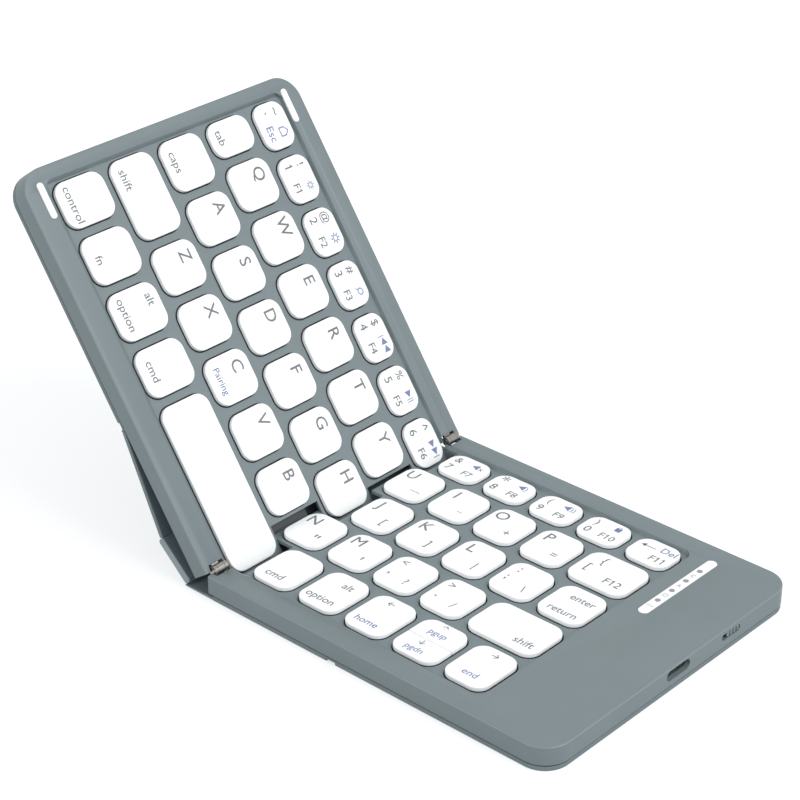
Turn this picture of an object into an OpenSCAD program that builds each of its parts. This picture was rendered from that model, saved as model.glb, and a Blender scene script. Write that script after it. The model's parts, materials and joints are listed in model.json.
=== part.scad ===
// Folding keyboard: two moulded halves on a pair of barrel hinges, with a wrap-round cover.
// Each half is drawn lying flat, with X measured from the hinge axis, Y from the middle of the
// depth (+Y is the far side of the keyboard) and Z from the hinge axis. The right half then
// goes to its place on the table and the left half is turned up about the axis.
// The model's origin is the middle of the right half's underside.

/* [Pose] */
// Angle between the two key faces
opening_angle = 124.97; // [95:0.01:179]

/* [Keys] */
// Width of a letter key
key_w = 14.4; // [13.4:0.1:14.6]
// Width of a number-row key
number_w = 14.6; // [13.4:0.1:14.8]
// Width of the space bar
space_w = 51.1; // [44:0.1:53]
// Width of the paired page keys
page_w = 15.4; // [13:0.1:16]
// Gap between neighbouring keys in a row
key_gap = 3.05; // [2.6:0.05:3.2]
// Gap between rows
row_gap = 3; // [2.6:0.1:3.6]
// Depth of a bottom-row key
bottom_h = 17.6; // [16:0.1:19]
// Depth of a letter key
letter_h = 16.1; // [14:0.1:18]
// Depth of a number-row key
number_h = 11.9; // [10:0.1:14]
// Corner radius of a key
key_r = 4; // [2:0.1:4.2]
// Seam between the page-up and page-down keys
page_seam = 0.3; // [0.2:0.1:1.2]
// Gap between the last left key and the first right key of a row
split_gap = 2.7; // [2.4:0.1:3]
// Height of a keycap from skirt to top
cap_h = 3.1; // [2.8:0.05:3.4]
// Wall of a keycap
cap_wall = 1.1; // [0.8:0.1:1.5]
// Thickness of a keycap's top
cap_top_t = 1.2; // [0.8:0.1:1.6]
// Radius of the stem under a keycap
stem_r = 1.4; // [1:0.1:1.8]

/* [Housing] */
// Distance from the hinge axis to the left end of the key block
block_left = 116.2; // [114:0.1:122]
// Distance from the hinge axis to the right end of the key block
block_right = 92; // [90:0.1:94]
// Margin outside the key block at the left end
end_margin = 6.2; // [5.6:0.1:12]
// Margin in front of the keys
front_margin = 9; // [8.6:0.1:12]
// Margin behind the keys
rear_margin = 9; // [8.6:0.1:12]
// Corner radius of the housing
corner_r = 8; // [4:0.5:12]
// Wall of the housing
wall = 1.6; // [1.2:0.1:2]
// Height from the hinge axis down to the table
axis_height = 8; // [8:0.1:10]
// Rim top below the hinge axis
rim_drop = 0.4; // [0.3:0.05:0.8]
// Key tops below the hinge axis
key_drop = 0.25; // [0.2:0.05:0.6]
// Key well floor below the rim
well_depth = 1.2; // [1:0.1:1.6]
// Thickness of the deck in the key well
deck_t = 1; // [0.7:0.1:1.1]
// How far the well's floor reaches outside the keys at the left, right, front and rear
well_room = [0.9, 0.5, 0.2, 1.3]; // [0.1:0.1:2]
// Width of the well's sloping sides at the left, right, front and rear
well_slope = [1.1, 1, 1.75, 0.6]; // [0.4:0.05:2]
// Corner radius of the well
well_r = 3.5; // [2:0.5:4.5]
// Height and depth of the shadow gap between the walls and the cover
seam = [0.5, 0.8]; // [0.3:0.1:1]
// Thickness of the right half's side panel
panel_t = 1; // [0.8:0.1:1.1]
// Thickness of the bottom plate
plate_t = 1.2; // [0.9:0.1:1.4]
// Width and height of the charging opening
usb_opening = [10.2, 3.2]; // [2.8:0.1:11]
// Length and height of the power switch slot
switch_slot = [8.4, 2]; // [1.6:0.1:10]
// Travel of the power switch
switch_travel = 2.4; // [1.5:0.1:3]

/* [Fits] */
// Gap around a key in the deck
key_clear = 0.4; // [0.25:0.05:0.6]
// Gap between the two halves along the split
split_clear = 0.25; // [0.2:0.05:0.4]
// Gap between parts that are laid into each other
fit_clear = 0.1; // [0.05:0.01:0.2]
// Radial clearance of the hinge pin in the turning knuckle
pin_clear = 0.05; // [0.02:0.01:0.1]

/* [Hinge] */
// Outer radius of the barrel
barrel_r = 1.5; // [1.3:0.05:1.7]
// Length of a barrel
barrel_l = 4.9; // [4.2:0.1:5.2]
// Radius of the hinge pin
pin_r = 0.7; // [0.5:0.05:0.9]
// Length of a hinge leaf from the axis
leaf_l = 12; // [8:0.5:16]
// Thickness of a hinge leaf
leaf_t = 0.7; // [0.5:0.05:0.8]
// Room around the barrel
barrel_room = 0.6; // [0.4:0.1:1]

/* [Cover] */
// Thickness of the cover
cover_t = 1.4; // [1:0.1:1.6]
// Distance from the hinge axis to the cover's creases
crease_x = 45.5; // [40:0.5:50]
// Width of a crease
crease_w = 3; // [2:0.1:4]
// Length of the loose flap, from the left crease to the spine strip
flap_l = 32; // [28:0.5:32]
// Angle at which the flap hangs away from the left half
flap_angle = 10.2; // [9:0.1:10.5]
// Width of the spine strip
spine_w = 14.5; // [12:0.1:14.5]
// Thickness of the spine strip
spine_t = 2.8; // [2:0.1:3]
// Angle at which the spine strip runs back towards the left half
spine_angle = 12.7; // [12:0.1:13.5]

/* [Details] */
// Length and width of the indicator window
window = [34.6, 3.4]; // [2.8:0.1:36]
// Length and width of a corner bumper strip
bumper = [11, 2.2]; // [1.8:0.1:12]
// Battery size along X, Y and Z
battery = [21.5, 35, 3.2]; // [3:0.1:38]
// Screw shank radius
screw_r = 0.65; // [0.5:0.05:0.75]
// Screw head radius
screw_head_r = 1.4; // [1.2:0.05:1.5]

/* [Hidden] */
$fn = 64;
eps = 0.01;
fold_angle = 180 - opening_angle;
SHELL = "#8a9699";
COVER = "#7f8b8e";
WHITE = "#f4f5f5";
METAL = "#b9b2a8";
BOARD = "#2c5a3c";
RUBBER = "#3a3d3e";

// Stack of heights, all measured from the hinge axis
key_top = -key_drop;
cap_bottom = key_top - cap_h;
rim_top = -rim_drop;
well_floor = rim_top - well_depth;
deck_under = well_floor - deck_t;
cover_bottom = -axis_height;
cover_top = cover_bottom + cover_t;
plate_top = cover_top + plate_t;
board_t = 0.45;
board_top = plate_top + board_t;
sheet_t = 0.15;
sheet_top = board_top + sheet_t;

// Rows run from the front (0) to the back (4)
row_h = [bottom_h, letter_h, letter_h, letter_h, number_h];
rows = [0 : len(row_h) - 1];
depth = front_margin + sum(row_h) + row_gap * (len(row_h) - 1) + rear_margin;
front = -depth / 2;
back = depth / 2;
half_length = block_left + end_margin;
// Right-hand end of the left half's keys in each row
row_end = [4.3, -4.35, 4.2, -0.5, 4.3];
function sum(v, n = -1, i = 0) = i < (n < 0 ? len(v) : n) ? v[i] + sum(v, n, i + 1) : 0;
function row_y(r) = front + front_margin + sum(row_h, r) + r * row_gap;
function split_x(r) = row_end[r] + split_gap / 2;
function repeat(value, n) = [for (i = [1 : n]) value];

// The first key on the left and the last key on the right fill up to the ends of the block
left_rest = [concat(repeat(key_w, 3), space_w), repeat(key_w, 5), repeat(key_w, 6),
             repeat(key_w, 6), repeat(number_w, 6)];
right_rest = [concat(repeat(key_w, 3), page_w), repeat(key_w, 4), repeat(key_w, 4),
              repeat(key_w, 4), repeat(number_w, 4)];
function left_w(r) = concat(block_left + row_end[r] - sum(left_rest[r])
                            - len(left_rest[r]) * key_gap, left_rest[r]);
function right_start(r) = row_end[r] + split_gap;
function right_w(r) = concat(right_rest[r], block_right - right_start(r)
                             - sum(right_rest[r]) - len(right_rest[r]) * key_gap);
left_names = [
    ["control", "function", "option_left", "command_left", "space"],
    ["shift_left", "z", "x", "c", "v", "b"],
    ["caps_lock", "a", "s", "d", "f", "g", "h"],
    ["tab", "q", "w", "e", "r", "t", "y"],
    ["escape", "1", "2", "3", "4", "5", "6"]];
right_names = [
    ["command_right", "option_right", "home", "page", "end"],
    ["n", "m", "comma", "period", "shift_right"],
    ["j", "k", "l", "semicolon", "enter"],
    ["u", "i", "o", "p", "bracket"],
    ["7", "8", "9", "0", "delete"]];
// A key is [name, x, y, width, depth], with x and y at its front left corner
function row_keys(names, widths, start, r) = [for (k = [0 : len(names) - 1])
    [names[k], start + sum(widths, k) + k * key_gap, row_y(r), widths[k], row_h[r]]];
left_rows = [for (r = rows) row_keys(left_names[r], left_w(r), -block_left, r)];
right_whole = [for (r = rows) each row_keys(right_names[r], right_w(r), right_start(r), r)];
// The page keys are the front and rear parts of one key outline
page_h = (bottom_h - page_seam) / 2;
function split_page(k) = k[0] != "page" ? [k] :
    [["page_down", k[1], k[2], k[3], page_h],
     ["page_up", k[1], k[2] + page_h + page_seam, k[3], page_h]];
right_keys = [for (k = right_whole) each split_page(k)];
function is_page(k) = k[0] == "page_down" || k[0] == "page_up";
// The outline that a key is cut from
function whole(k) = is_page(k) ? [for (w = right_whole) if (w[0] == "page") w][0] : k;
// A key's corners are as round as its shorter side lets them be
function corner(k) = min(key_r, 0.49 * min(k[3], k[4]));
left_keys = [for (r = left_rows) each r];
space = left_rows[0][4];

// Keys of the left half that share a node, row by row
left_groups = [
    ["left_modifier_keys", [for (i = [0 : 3]) left_rows[0][i]]],
    ["space_key", [space]],
    ["left_lower_letter_keys", left_rows[1]],
    ["left_home_letter_keys", left_rows[2]],
    ["left_upper_letter_keys", left_rows[3]],
    ["left_number_keys", left_rows[4]]];

// Edges of the key well's floor, and of its mouth level with the rim
well_left = -block_left - well_room[0];
well_right = block_right + well_room[1];
well_front = front + front_margin - well_room[2];
well_back = back - rear_margin + well_room[3];
mouth_left = well_left - well_slope[0];
mouth_right = well_right + well_slope[1];
mouth_front = well_front - well_slope[2];
mouth_back = well_back + well_slope[3];
panel_left = mouth_right + 0.5;
// Front and back limits of the part of the deck that crosses the hinge line
tongue_margin = 1.1;
tongue_front = row_y(0) - tongue_margin;
tongue_back = row_y(4) + number_h + tongue_margin;
// Nothing of one half reaches further than this from the axis on the other half's side
swing_r = 6.8;
floor_x = sqrt(swing_r ^ 2 - plate_top ^ 2) + 0.4;
board_x = sqrt(swing_r ^ 2 - sheet_top ^ 2) + 0.4;

// Hinge barrels sit in the rims, just outside the first and last rows
barrel_margin = 2.1;
barrel_out = [-1, 1] * (back - barrel_margin);
knuckle_gap = 0.1;
end_knuckle_l = 1.1;
// Start and length of the three knuckles of a barrel, counted from its front end
knuckles = [
    [0, end_knuckle_l],
    [end_knuckle_l + knuckle_gap, barrel_l - 2 * (end_knuckle_l + knuckle_gap)],
    [barrel_l - end_knuckle_l, end_knuckle_l]];
barrel_cut_r = barrel_r + barrel_room;
barrel_wall = 0.2;
leaf_top = -pin_r - 0.2;

// Bosses and screws, as [x, y] on one half with x measured away from the hinge
boss_r = 1.8;
boss_y = back - wall - boss_r + 0.1;
boss_x = [20, 60, half_length - 14];
leaf_screw_x = leaf_l - 3;
screw_depth = 2.6;
head_t = 0.8;

// Electronics under the side panel
wall_in = half_length - wall;
usb_y = 0.25;
usb_z = -2.8;
battery_gap = 0.3;
battery_r = 1.5;
socket = [7.35, 8.94, 3.16];
socket_wall = 0.3;
socket_setback = 0.2;
main_board_t = 0.8;
main_board_top = usb_z - socket[2] / 2;
switch_y = 19.9;
switch_z = -2.85;
switch_body = [3, 10, 2.4];
knob_l = switch_slot[0] - switch_travel - fit_clear;
window_x = mouth_right + 6.9;
window_y = 12.45;
window_t = 0.7;
window_proud = 0.1;
led_at = [0.228, 0.416, 0.604, 0.792];
led = [0.8, 1.6, 0.6];
led_hole_r = 0.6;
main_board_y = [-10, window_y + led_at[3] * window[0] + 2];

// Bumpers near the outer corners of the left half, flush into the rim
bumper_t = 0.95;
bumper_proud = 0.35;
bumper_x = -half_length + 4.05 + bumper[0] / 2;
bumper_y = [front + 5.7, back - 6];

// Cover pieces, on the left half's own plane: the flap turns at the crease
cover_inset = 0.1;
spine_r = 0.9;
crease_z = cover_top - cover_t / 2;
flap_end = [-crease_x + flap_l * cos(flap_angle), crease_z - flap_l * sin(flap_angle)];
cover_start = 1.5;
flap_clear = 0.15;
// A point of the left half, as [x, z], as it lies in the right half's plane
function in_right_plane(p) = [p[0] * cos(fold_angle) + p[1] * sin(fold_angle),
                              p[1] * cos(fold_angle) - p[0] * sin(fold_angle)];
// Lower far corner of the spine strip, which the film runs up to
spine_low = spine_t - cover_t / 2;
spine_corner = in_right_plane(flap_end + [
    spine_w * cos(spine_angle) + spine_low * sin(spine_angle),
    spine_w * sin(spine_angle) - spine_low * cos(spine_angle)]);
film_clear = 0.25;
film_t = 0.45;
film_end = spine_corner + [flap_clear, -film_clear];

hinge_at = [-half_length / 2, 0, axis_height];

// ---- Placing ----

module on_right() translate(hinge_at) children();

module on_left() translate(hinge_at) rotate([0, fold_angle, 0]) children();

// ---- Shared shapes ----

// Rounded rectangle with its front left corner at the origin
module rounded_rect(w, h, r) {
    translate([r, 0]) square([w - 2 * r, h]);
    translate([0, r]) square([w, h - 2 * r]);
    for (x = [r, w - r], y = [r, h - r]) translate([x, y]) circle(r);
}

// Plate with a rounded outline between two heights
module rounded_plate(x, y, w, h, r, z0, z1)
    translate([x, y, z0]) linear_extrude(z1 - z0) rounded_rect(w, h, r);

// Pill along Y between two heights, centred on x
module pill(x, y, length, width, z0, z1)
    translate([x, 0, z0]) linear_extrude(z1 - z0) {
        translate([-width / 2, y + width / 2]) square([width, length - width]);
        for (end = [y + width / 2, y + length - width / 2]) translate([0, end]) circle(width / 2);
    }

// A polygon of [x, z] points drawn along Y
module along_y(points, y0, y1)
    translate([0, y1, 0]) rotate([90, 0, 0]) linear_extrude(y1 - y0) polygon(points);

// A polygon of [y, z] points drawn along X
module along_x(points, x0, x1)
    translate([x0, 0, 0]) rotate([90, 0, 90]) linear_extrude(x1 - x0) polygon(points);

// Outline of one half, square at the hinge line and rounded at its outer end, inset by a wall
module half_outline(side, inset, x0) {
    r = corner_r - inset;
    end = half_length - inset;
    for (m = side < 0 ? [1] : [0]) mirror([m, 0]) {
        translate([x0, front + inset]) square([end - r - x0, depth - 2 * inset]);
        translate([x0, front + inset + r]) square([end - x0, depth - 2 * inset - 2 * r]);
        for (y = [front + inset + r, back - inset - r]) translate([end - r, y]) circle(r);
    }
}

// ---- Housing ----

// The recess that the keys stand in, with sloping sides and rounded corners
module key_well() {
    top = rim_top + eps;
    intersection() {
        along_y([[well_left, well_floor], [well_right, well_floor], [mouth_right, top],
                 [mouth_left, top]], front, back);
        along_x([[well_front, well_floor], [well_back, well_floor], [mouth_back, top],
                 [mouth_front, top]], -half_length, half_length);
        rounded_plate(mouth_left, mouth_front, mouth_right - mouth_left,
                      mouth_back - mouth_front, well_r, well_floor - 1, top + 1);
    }
}

module key_openings(keys)
    for (k = keys)
        rounded_plate(k[1] - key_clear, k[2] - key_clear, k[3] + 2 * key_clear,
                      k[4] + 2 * key_clear, corner(k) + key_clear, deck_under - eps, 0);

// The band of one row on one side of the split, which steps from row to row
module row_bands(side) {
    y0 = [tongue_front, for (r = [1 : 4]) row_y(r) - row_gap / 2];
    y1 = [for (r = [1 : 4]) row_y(r) - row_gap / 2, tongue_back];
    for (r = rows) {
        edge = split_x(r) + side * split_clear / 2;
        translate([side < 0 ? -half_length : edge, y0[r]])
            square([side < 0 ? half_length + edge : half_length - edge, y1[r] - y0[r]]);
    }
}

// Where one half may have material, looking down on it
module half_plan(side) {
    row_bands(side);
    for (y = [[front, tongue_front], [tongue_back, back]])
        translate([side < 0 ? -half_length : split_clear / 2, y[0]])
            square([half_length - split_clear / 2, y[1] - y[0]]);
}

// Room around the hinge barrels, and pockets for their leaves
module barrel_cuts(side) {
    for (s = [-1, 1]) {
        y0 = s < 0 ? barrel_out[0] - barrel_wall : barrel_out[1] - barrel_l - barrel_wall;
        translate([0, y0, 0]) rotate([-90, 0, 0])
            cylinder(r = barrel_cut_r, h = barrel_l + 2 * barrel_wall);
        translate([side < 0 ? -leaf_l - fit_clear : 0, y0 + barrel_wall - fit_clear,
                   deck_under - eps])
            cube([leaf_l + fit_clear, barrel_l + 2 * fit_clear, leaf_top - deck_under + eps]);
    }
}

module bosses(side)
    for (x = boss_x, y = [-boss_y, boss_y])
        translate([side * x, y, plate_top]) difference() {
            cylinder(r = boss_r, h = deck_under - plate_top + eps);
            translate([0, 0, -eps]) cylinder(r = screw_r, h = screw_depth + eps);
        }

// Groove along the walls' lower edge, just above the cover
module shadow_gap(side)
    translate([0, 0, cover_top - eps]) linear_extrude(seam[0] + eps) difference() {
        half_outline(side, -1, -1);
        half_outline(side, seam[1], -2);
    }

// One deck: outer walls, rims and the perforated floor of the key well, moulded in one piece
module deck(side) {
    difference() {
        intersection() {
            translate([0, 0, cover_top]) linear_extrude(rim_top - cover_top)
                union() {
                    half_outline(side, 0, split_clear / 2);
                    intersection() {
                        half_outline(side, 0, -10);
                        row_bands(side);
                    }
                }
            union() {
                translate([0, 0, deck_under]) linear_extrude(-deck_under) half_plan(side);
                translate([0, 0, cover_top]) linear_extrude(deck_under - cover_top)
                    half_outline(side, 0, split_clear / 2);
            }
        }
        translate([0, 0, cover_top - eps]) linear_extrude(deck_under - cover_top + eps)
            half_outline(side, wall, -20);
        shadow_gap(side);
        barrel_cuts(side);
        key_well();
    }
    bosses(side);
}

module left_deck() color(SHELL) difference() {
    deck(-1);
    key_openings(left_keys);
    for (y = bumper_y)
        translate([bumper_x, y, 0]) rotate(90)
            pill(0, -bumper[0] / 2 - fit_clear, bumper[0] + 2 * fit_clear,
                 bumper[1] + 2 * fit_clear, rim_top + bumper_proud - bumper_t, 0);
}

module right_deck() color(SHELL) difference() {
    deck(1);
    key_openings(right_whole);
    // Room for the electronics and the battery under the side panel
    translate([0, 0, deck_under - eps])
        linear_extrude(rim_top - panel_t - deck_under + eps)
            half_outline(1, wall, panel_left);
    // Pocket in the panel over the charging socket
    translate([wall_in - socket_setback - socket[0] - fit_clear,
               usb_y - socket[1] / 2 - fit_clear, deck_under - eps])
        cube([socket[0] + socket_setback + fit_clear, socket[1] + 2 * fit_clear,
              usb_z + socket[2] / 2 + fit_clear - deck_under + eps]);
    pill(window_x, window_y - fit_clear, window[0] + 2 * fit_clear, window[1] + 2 * fit_clear,
         rim_top + window_proud - window_t, 0);
    for (t = led_at)
        translate([window_x, window_y + t * window[0], deck_under])
            cylinder(r = led_hole_r, h = -deck_under);
    side_slot(usb_y - usb_opening[0] / 2, usb_opening[0], usb_opening[1], usb_z);
    side_slot(switch_y, switch_slot[0], switch_slot[1], switch_z);
}

// Round-ended slot through the right end wall
module side_slot(y, length, height, z)
    translate([wall_in - eps, 0, z]) rotate([0, 90, 0])
        pill(0, y, length, height, 0, wall + 2 * eps);

module bottom_plate(side) color(SHELL) difference() {
    translate([0, 0, cover_top]) linear_extrude(plate_t)
        half_outline(side, wall + fit_clear, floor_x);
    for (x = boss_x, y = [-boss_y, boss_y]) translate([side * x, y, cover_top]) {
        translate([0, 0, -eps]) cylinder(r = screw_head_r + fit_clear, h = head_t + eps);
        cylinder(r = screw_r + fit_clear, h = plate_t + eps);
    }
}

module left_bottom_plate() bottom_plate(-1);
module right_bottom_plate() bottom_plate(1);

module screws(side) color(METAL) {
    for (x = boss_x, y = [-boss_y, boss_y]) translate([side * x, y, cover_top]) {
        cylinder(r = screw_head_r, h = head_t);
        cylinder(r = screw_r, h = plate_t + screw_depth);
    }
    // Short screws that hold the hinge leaves up against the rims
    for (y = leaf_y()) translate([side * leaf_screw_x, y, leaf_top - leaf_t - head_t]) {
        cylinder(r = screw_head_r, h = head_t);
        cylinder(r = screw_r, h = head_t + leaf_t);
    }
}

// Middles of the two hinge barrels
function leaf_y() = [barrel_out[0] + barrel_l / 2, barrel_out[1] - barrel_l / 2];

module left_screws() screws(-1);
module right_screws() screws(1);

// ---- Hinge ----

// A leaf with its knuckles; each knuckle is joined to the plate by an arm of its own width
module leaf(side, y, fingers, bore_r) {
    for (k = fingers) translate([0, y - barrel_l / 2 + k[0], 0]) {
        rotate([-90, 0, 0]) difference() {
            cylinder(r = barrel_r, h = k[1]);
            translate([0, 0, -1]) cylinder(r = bore_r, h = k[1] + 2);
        }
        translate([side < 0 ? -barrel_cut_r - 0.3 : 0, 0, leaf_top - leaf_t])
            cube([barrel_cut_r + 0.3, k[1], leaf_t]);
    }
    difference() {
        translate([side < 0 ? -leaf_l : barrel_cut_r + 0.1, y - barrel_l / 2, leaf_top - leaf_t])
            cube([leaf_l - barrel_cut_r - 0.1, barrel_l, leaf_t]);
        translate([side * leaf_screw_x, y, leaf_top - 2 * leaf_t])
            cylinder(r = screw_r + fit_clear / 2, h = 3 * leaf_t);
    }
}

module left_hinge_leaves() color(METAL)
    for (y = leaf_y()) leaf(-1, y, [knuckles[1]], pin_r + pin_clear);

module right_hinge_leaves() color(METAL)
    for (y = leaf_y()) leaf(1, y, [knuckles[0], knuckles[2]], pin_r);

module hinge_pins() color(METAL)
    for (y = leaf_y()) translate([0, y - barrel_l / 2, 0]) rotate([-90, 0, 0])
        cylinder(r = pin_r, h = barrel_l);

// ---- Keys ----

// A key's outline, inset by a wall
module key_outline(k, inset) {
    w = whole(k);
    intersection() {
        translate([w[1] + inset, w[2] + inset])
            rounded_rect(w[3] - 2 * inset, w[4] - 2 * inset, corner(w) - inset);
        translate([k[1] + inset, k[2] + inset]) square([k[3] - 2 * inset, k[4] - 2 * inset]);
    }
}

module keycap(k) {
    difference() {
        translate([0, 0, cap_bottom]) linear_extrude(cap_h) key_outline(k, 0);
        translate([0, 0, cap_bottom - eps]) linear_extrude(cap_h - cap_top_t + eps)
            key_outline(k, cap_wall);
    }
    translate([k[1] + k[3] / 2, k[2] + k[4] / 2, cap_bottom])
        cylinder(r = stem_r, h = cap_h - cap_top_t + eps);
}

module keycaps(keys) color(WHITE) for (k = keys) keycap(k);

dome_r = 2.8;
dome_top_r = 1.8;
dome_wall = 0.3;

// Silicone sheet with one dome under each key's stem
module dome_sheet(keys, x0, x1) color(RUBBER) difference() {
    union() {
        translate([x0, row_y(0), board_top])
            cube([x1 - x0, row_y(4) + number_h - row_y(0), sheet_t]);
        for (k = keys) translate([k[1] + k[3] / 2, k[2] + k[4] / 2, board_top])
            cylinder(r1 = dome_r, r2 = dome_top_r, h = cap_bottom - board_top);
    }
    for (k = keys) translate([k[1] + k[3] / 2, k[2] + k[4] / 2, board_top - eps])
        cylinder(r1 = dome_r - dome_wall, r2 = dome_top_r - dome_wall,
                 h = cap_bottom - board_top - dome_wall);
}

module key_board(x0, x1) color(BOARD)
    translate([x0, row_y(0) - 0.5, plate_top])
        cube([x1 - x0, row_y(4) + number_h - row_y(0) + 1, board_t]);

module left_key_board() key_board(-block_left, -board_x);
module right_key_board() key_board(board_x, block_right);
module left_dome_sheet() dome_sheet(left_keys, -block_left, -board_x);
module right_dome_sheet() dome_sheet(right_keys, board_x, block_right);

wire_r = 0.4;
wire_in = 2;
wire_arm = bottom_h / 3 - wire_in / 2;
wire_arm_r = 0.9 * wire_r;

// Bent wire under the space bar that keeps its ends level
module space_stabiliser() color(METAL) {
    z = key_top - cap_top_t - wire_r;
    x0 = space[1] + cap_wall + wire_in;
    x1 = space[1] + space[3] - cap_wall - wire_in;
    y0 = space[2] + cap_wall + wire_in / 2;
    y1 = y0 + wire_arm;
    translate([x0 - wire_r, y1, z]) rotate([0, 90, 0])
        cylinder(r = wire_r, h = x1 - x0 + 2 * wire_r);
    for (x = [x0, x1])
        translate([x, y0, z]) rotate([-90, 0, 0]) cylinder(r = wire_arm_r, h = y1 - y0);
}

// ---- Electronics ----

module battery() color("#c9ccd0")
    rounded_plate(wall_in - battery_gap - battery[0], boss_r - boss_y + battery_gap, battery[0],
                  battery[1], battery_r, plate_top, plate_top + battery[2]);

module main_board() color(BOARD)
    translate([panel_left + 0.5, main_board_y[0], main_board_top - main_board_t])
        cube([wall_in - 0.3 - panel_left - 0.5, main_board_y[1] - main_board_y[0], main_board_t]);

module usb_socket() color(METAL) translate([wall_in - socket_setback, usb_y - socket[1] / 2, usb_z]) {
    r = socket[2] / 2;
    rotate([0, -90, 0]) difference() {
        translate([-r, 0]) linear_extrude(socket[0]) rounded_rect(2 * r, socket[1], r - eps);
        translate([-r + socket_wall, socket_wall, -eps]) linear_extrude(socket[0] - 1)
            rounded_rect(2 * (r - socket_wall), socket[1] - 2 * socket_wall,
                         r - socket_wall - eps);
    }
    // Contact tongue
    translate([-socket[0] + 0.5, socket[1] / 2 - 3.35, -0.35]) cube([5.5, 6.7, 0.7]);
}

module power_switch_body() color("#3a3d3f") {
    x1 = wall_in - 0.2;
    y0 = switch_y + switch_slot[0] / 2 - switch_body[1] / 2;
    difference() {
        translate([x1 - switch_body[0], y0, main_board_top])
            cube([switch_body[0], switch_body[1], switch_body[2]]);
        translate([x1 - 1.5, switch_y - fit_clear, switch_z - 0.6])
            cube([2, switch_slot[0] + 2 * fit_clear, 1.2]);
    }
}

// Ribbed knob, drawn at the far end of its slot
module power_switch_knob() color(SHELL) {
    y0 = switch_y + switch_slot[0] - fit_clear - knob_l;
    h = switch_slot[1] - 2 * fit_clear;
    difference() {
        translate([wall_in, 0, switch_z]) rotate([0, 90, 0]) pill(0, y0, knob_l, h, 0, wall - 0.2);
        for (i = [1 : 3])
            translate([half_length - 0.5, y0 + i * knob_l / 4 - 0.25, switch_z - h])
                cube([1, 0.5, 2 * h]);
    }
    translate([wall_in - 1.2, y0 + knob_l / 2 - 1, switch_z - 0.5]) cube([1.2 + eps, 2, 1]);
}

module indicator_window() color(WHITE)
    pill(window_x, window_y, window[0], window[1], rim_top + window_proud - window_t,
         rim_top + window_proud);

module indicator_leds() color("#e8e4c8")
    for (t = led_at)
        translate([window_x - led[0] / 2, window_y + t * window[0] - led[1] / 2, main_board_top])
            cube(led);

// Flat cable from one key board to the other, round the hinge axis. It crosses in the second
// row, where neither deck reaches far over the hinge line.
cable_w = 14;
cable_t = 0.15;
cable_y = row_y(1) + letter_h / 2;
module hinge_flex_cable() color("#1d1b1a") {
    mid = plate_top + board_t / 2;
    r = -mid;
    translate([0, cable_y + cable_w / 2, 0]) rotate([90, 0, 0]) linear_extrude(cable_w) {
        translate([0, mid - cable_t / 2]) square([board_x, cable_t]);
        rotate(-fold_angle) translate([-board_x, mid - cable_t / 2]) square([board_x, cable_t]);
        difference() {
            circle(r + cable_t / 2);
            circle(r - cable_t / 2);
            translate([0, -10]) square(20);
            rotate(-fold_angle) translate([-20, -10]) square(20);
            translate([-20, 0]) square([40, 20]);
        }
    }
}

// ---- Cover and trim ----

module right_cover() color(COVER) difference() {
    translate([0, 0, cover_bottom]) linear_extrude(cover_t) half_outline(1, cover_inset, cover_start);
    translate([crease_x, front - 1, cover_bottom - eps])
        cube([crease_w, depth + 2, cover_t / 2]);
}

module left_cover() color(COVER) difference() {
    translate([0, 0, cover_bottom]) linear_extrude(cover_t)
        half_outline(-1, cover_inset, crease_x + flap_clear);
    translate([-crease_x - crease_w, front - 1, cover_bottom - eps])
        cube([crease_w - 1, depth + 2, cover_t / 2]);
}

// Stiff panel that hangs from the left crease
module cover_flap() color(COVER)
    translate([-crease_x, 0, crease_z]) rotate([0, flap_angle, 0])
        translate([0, front + cover_inset, -cover_t / 2])
            cube([flap_l - flap_clear, depth - 2 * cover_inset, cover_t]);

// Thick strip along the back of the closed keyboard
module spine_strip() color("#8d999b")
    translate([flap_end[0], 0, flap_end[1]]) rotate([0, -spine_angle, 0])
        translate([flap_clear, back - cover_inset, -spine_low]) rotate([90, 0, 0])
            linear_extrude(depth - 2 * cover_inset)
                rounded_rect(spine_w - flap_clear, spine_t, spine_r);

// Thin continuation of the right cover, up to the spine strip
module cover_film() color(COVER) {
    x1 = cover_start - fit_clear / 2;
    along_y([film_end - [0, film_t], film_end, [x1, cover_top - film_clear],
             [x1, cover_bottom + film_clear]], front + cover_inset, back - cover_inset);
}

module bumper_strips() color(WHITE)
    for (y = bumper_y)
        translate([bumper_x, y, 0]) rotate(90)
            pill(0, -bumper[0] / 2, bumper[0], bumper[1],
                 rim_top + bumper_proud - bumper_t, rim_top + bumper_proud);

// ---- Nodes ----

on_right() {
    right_deck();
    right_bottom_plate();
    right_cover();
    right_key_board();
    right_dome_sheet();
    right_hinge_leaves();
    hinge_pins();
    right_screws();
    battery();
    main_board();
    usb_socket();
    power_switch_body();
    power_switch_knob();
    indicator_window();
    indicator_leds();
    hinge_flex_cable();
    cover_film();
    for (k = right_keys)
        keycaps([k]);
}
on_left() {
    left_deck();
    left_bottom_plate();
    left_cover();
    left_key_board();
    left_dome_sheet();
    left_hinge_leaves();
    left_screws();
    bumper_strips();
    cover_flap();
    spine_strip();
    space_stabiliser();
    for (g = left_groups)
        keycaps(g[1]);
}
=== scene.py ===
# Folding keyboard: two satin plastic halves on nickel barrel hinges, white keys, and a
# wrap-round cover whose loose flap and spine strip hang behind the raised half.
import json
import math

import bmesh
import bpy
from mathutils import Matrix, Vector

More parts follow.
